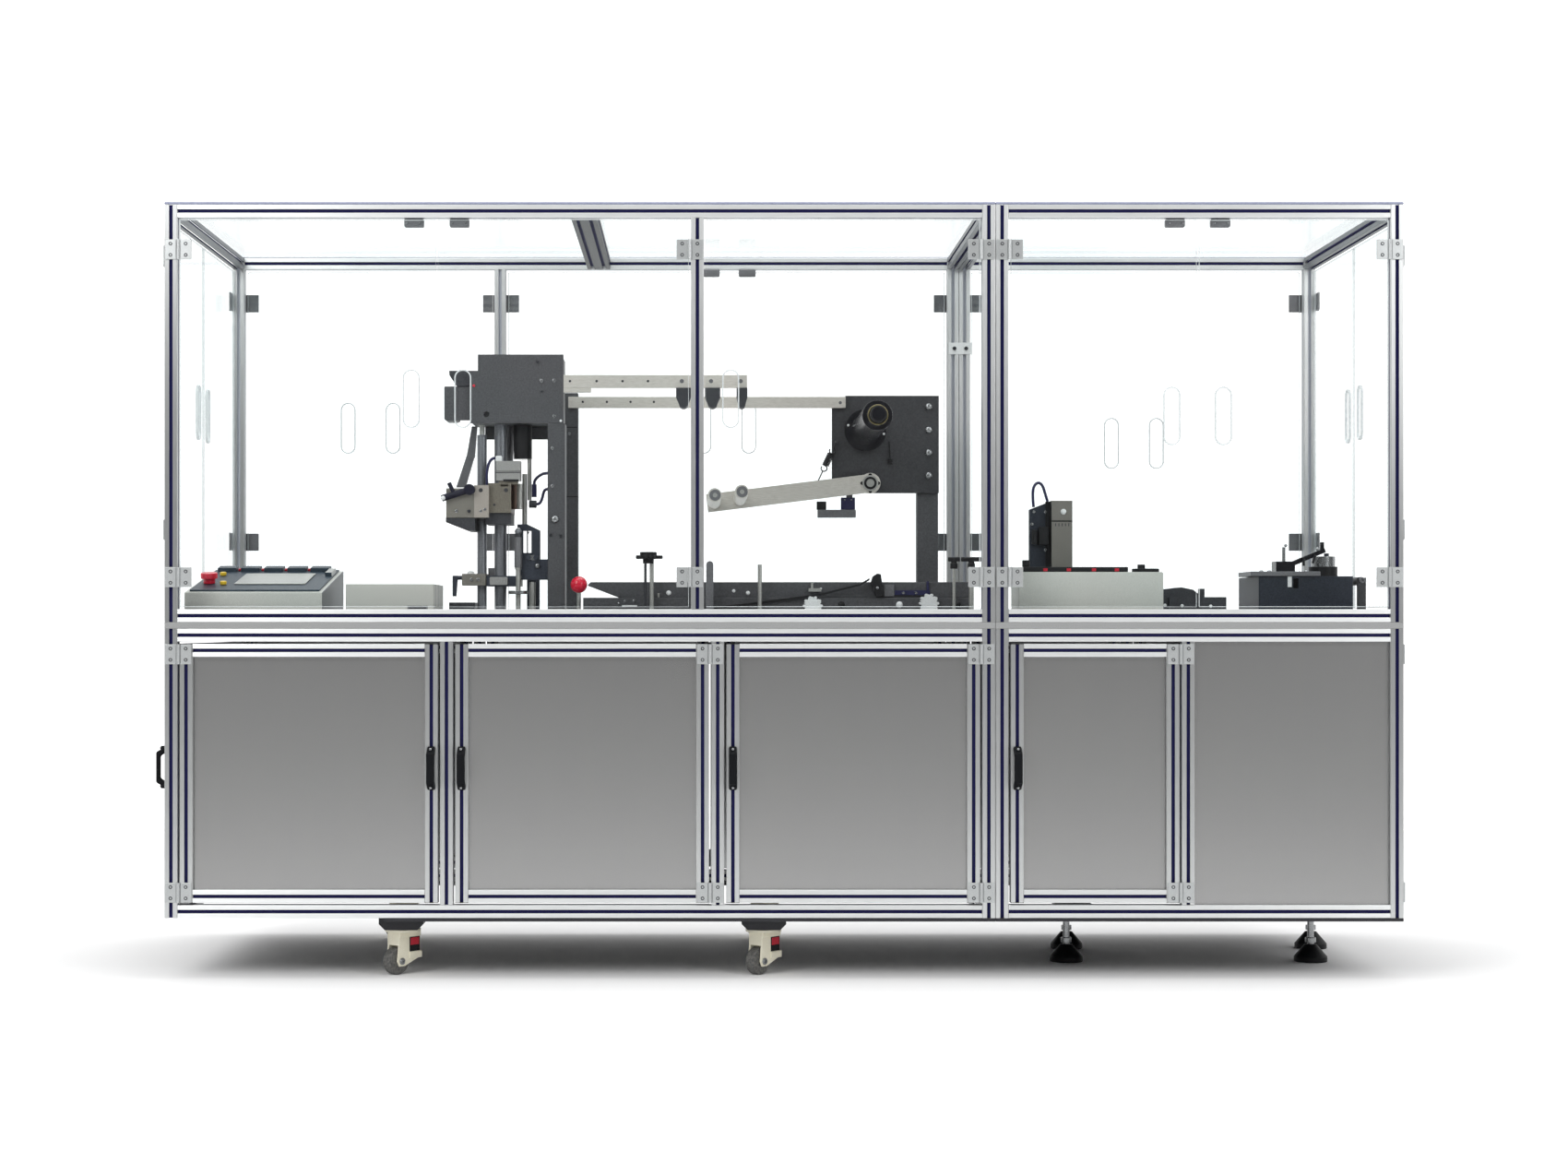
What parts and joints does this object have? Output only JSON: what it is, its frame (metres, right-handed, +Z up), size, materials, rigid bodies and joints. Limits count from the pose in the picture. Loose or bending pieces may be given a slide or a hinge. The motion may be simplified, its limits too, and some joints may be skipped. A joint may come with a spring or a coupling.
{
  "type": "film overwrapping machine",
  "caption": "Two-module film overwrapping machine: slotted aluminium frame, cabinet doors below, clear guard doors above, with film reel, dancer arm and sealing head.",
  "frame": {"origin": "on the floor below the middle of the machine", "axes": "+X along the machine to the right, +Y from the front to the rear, +Z up"},
  "size_m": [2.9166, 0.9566, 1.793],
  "materials": {
    "aluminium_bar": "anodised satin",
    "table_steel": "brushed",
    "clear_sheet": "clear polished",
    "black_bar": "black anodised",
    "base_steel": "black paint",
    "foot_black": "matt black",
    "brushed_panel": "brushed",
    "black_plastic": "grained black",
    "cast_zinc": "cast satin",
    "caster_ivory": "ivory coat",
    "caster_tread": "worn grey",
    "light_grey_paint": "satin light grey",
    "console_black": "dark satin",
    "button_colours": "red and yellow plastic",
    "dark_steel": "dark grey satin",
    "bright_steel": "ground steel",
    "machined_block": "machined",
    "spring_steel": "black spring wire",
    "ball_red": "red ball knob",
    "belt_white": "white toothed covers"
  },
  "bodies": {
    "machine": {"adjuster_knobs": "black_plastic", "adjuster_rods": "bright_steel", "ball_lever": "ball_red", "base_steelwork": "base_steel", "bearing_brackets": "dark_steel", "belt_drives": "belt_white", "columns": "dark_steel", "console": "light_grey_paint", "console_buttons": "button_colours", "console_face": "console_black", "crossbar": "black_bar", "dancer_spring": "spring_steel", "drive_box": "light_grey_paint", "feeder_unit": "dark_steel", "film_plate": "dark_steel", "fixed_hinges": "cast_zinc", "fixed_panels": "brushed_panel", "guard_catches": "black_plastic", "guide_columns": "bright_steel", "guide_rails": "dark_steel", "head_box": "dark_steel", "levelling_feet": "foot_black", "lower_frame": "aluminium_bar", "rear_and_side_doors": "aluminium_bar", "rear_and_side_guards": "clear_sheet", "rear_and_side_handles": "black_plastic", "roof_sheets": "clear_sheet", "sealing_linkage": "dark_steel", "sensor_bracket": "dark_steel", "sensor_tower": "dark_steel", "station_box": "light_grey_paint", "support_beams": "bright_steel", "table_plates": "table_steel", "tape_unit": "dark_steel", "upper_frame": "aluminium_bar"},
    "cabinet_door_1_body": {"cabinet_door_1": "aluminium_bar", "cabinet_handle_1": "black_plastic"},
    "cabinet_door_2_body": {"cabinet_door_2": "aluminium_bar", "cabinet_handle_2": "black_plastic"},
    "cabinet_door_3_body": {"cabinet_door_3": "aluminium_bar", "cabinet_handle_3": "black_plastic"},
    "cabinet_door_4_body": {"cabinet_door_4": "aluminium_bar", "cabinet_handle_4": "black_plastic"},
    "guard_door_1_body": {"guard_door_1": "clear_sheet"},
    "guard_door_2_body": {"guard_door_2": "clear_sheet"},
    "guard_door_3_body": {"guard_door_3": "clear_sheet"},
    "guard_door_4_body": {"guard_door_4": "clear_sheet"},
    "guard_door_5_body": {"guard_door_5": "clear_sheet"},
    "caster_swivel_1": {"caster_housing_1": "caster_ivory"},
    "caster_wheel_1_body": {"caster_wheel_1": "caster_tread"},
    "caster_swivel_2": {"caster_housing_2": "caster_ivory"},
    "caster_wheel_2_body": {"caster_wheel_2": "caster_tread"},
    "caster_swivel_3": {"caster_housing_3": "caster_ivory"},
    "caster_wheel_3_body": {"caster_wheel_3": "caster_tread"},
    "caster_swivel_4": {"caster_housing_4": "caster_ivory"},
    "caster_wheel_4_body": {"caster_wheel_4": "caster_tread"},
    "reel_body": {"reel_shaft": "dark_steel"},
    "dancer_body": {"dancer_arm": "bright_steel"},
    "sealing_head_body": {"sealing_head": "machined_block", "clamp_lever": "black_plastic"}
  },
  "joints": [
    {"name": "cabinet_door_1_hinge", "type": "hinge", "parent": "machine", "child": "cabinet_door_1_body", "pos_m": [-1.3975, -0.4548, 0.474], "axis": [0, 0, 1], "range_deg": [-110, 0]},
    {"name": "cabinet_door_2_hinge", "type": "hinge", "parent": "machine", "child": "cabinet_door_2_body", "pos_m": [-0.1705, -0.4548, 0.474], "axis": [0, 0, 1], "range_deg": [0, 110]},
    {"name": "cabinet_door_3_hinge", "type": "hinge", "parent": "machine", "child": "cabinet_door_3_body", "pos_m": [0.4552, -0.4548, 0.474], "axis": [0, 0, 1], "range_deg": [0, 110]},
    {"name": "cabinet_door_4_hinge", "type": "hinge", "parent": "machine", "child": "cabinet_door_4_body", "pos_m": [0.9155, -0.4548, 0.474], "axis": [0, 0, 1], "range_deg": [0, 110]},
    {"name": "guard_door_1_hinge", "type": "hinge", "parent": "machine", "child": "guard_door_1_body", "pos_m": [-1.3975, -0.4548, 1.305], "axis": [0, 0, 1], "range_deg": [-110, 0]},
    {"name": "guard_door_2_hinge", "type": "hinge", "parent": "machine", "child": "guard_door_2_body", "pos_m": [-0.2175, -0.4548, 1.305], "axis": [0, 0, 1], "range_deg": [0, 110]},
    {"name": "guard_door_3_hinge", "type": "hinge", "parent": "machine", "child": "guard_door_3_body", "pos_m": [0.4552, -0.4548, 1.305], "axis": [0, 0, 1], "range_deg": [0, 110]},
    {"name": "guard_door_4_hinge", "type": "hinge", "parent": "machine", "child": "guard_door_4_body", "pos_m": [0.5208, -0.4548, 1.305], "axis": [0, 0, 1], "range_deg": [-110, 0]},
    {"name": "guard_door_5_hinge", "type": "hinge", "parent": "machine", "child": "guard_door_5_body", "pos_m": [1.3975, -0.4548, 1.305], "axis": [0, 0, 1], "range_deg": [0, 110]},
    {"name": "caster_swivel_1_turn", "type": "hinge", "parent": "machine", "child": "caster_swivel_1", "pos_m": [-0.891, -0.35, 0.1], "axis": [0, 0, 1], "continuous": true},
    {"name": "caster_wheel_1_spin", "type": "hinge", "parent": "caster_swivel_1", "child": "caster_wheel_1_body", "pos_m": [-0.90514, -0.36685, 0.0315], "axis": [-0.766, 0.6428, 0], "continuous": true},
    {"name": "caster_swivel_2_turn", "type": "hinge", "parent": "machine", "child": "caster_swivel_2", "pos_m": [-0.045, -0.35, 0.1], "axis": [0, 0, 1], "continuous": true},
    {"name": "caster_wheel_2_spin", "type": "hinge", "parent": "caster_swivel_2", "child": "caster_wheel_2_body", "pos_m": [-0.05914, -0.36685, 0.0315], "axis": [-0.766, 0.6428, 0], "continuous": true},
    {"name": "caster_swivel_3_turn", "type": "hinge", "parent": "machine", "child": "caster_swivel_3", "pos_m": [-0.972, 0.35, 0.1], "axis": [0, 0, 1], "continuous": true},
    {"name": "caster_wheel_3_spin", "type": "hinge", "parent": "caster_swivel_3", "child": "caster_wheel_3_body", "pos_m": [-0.98614, 0.33315, 0.0315], "axis": [-0.766, 0.6428, 0], "continuous": true},
    {"name": "caster_swivel_4_turn", "type": "hinge", "parent": "machine", "child": "caster_swivel_4", "pos_m": [-0.029, 0.35, 0.1], "axis": [0, 0, 1], "continuous": true},
    {"name": "caster_wheel_4_spin", "type": "hinge", "parent": "caster_swivel_4", "child": "caster_wheel_4_body", "pos_m": [-0.04314, 0.33315, 0.0315], "axis": [-0.766, 0.6428, 0], "continuous": true},
    {"name": "reel_spin", "type": "hinge", "parent": "machine", "child": "reel_body", "pos_m": [0.22363, 0.132, 1.31], "axis": [0, 1, 0], "continuous": true},
    {"name": "dancer_arm_swing", "type": "hinge", "parent": "machine", "child": "dancer_body", "pos_m": [0.23463, 0.1225, 1.175], "axis": [0, 1, 0], "range_deg": [-12, 25], "stiffness_Nm_per_rad": 20, "springref_deg": 21.77, "deforming": ["dancer_spring"]},
    {"name": "sealing_head_slide", "type": "slide", "parent": "machine", "child": "sealing_head_body", "axis": [0, 0, 1], "range_m": [-0.03, 0.06]}
  ]
}
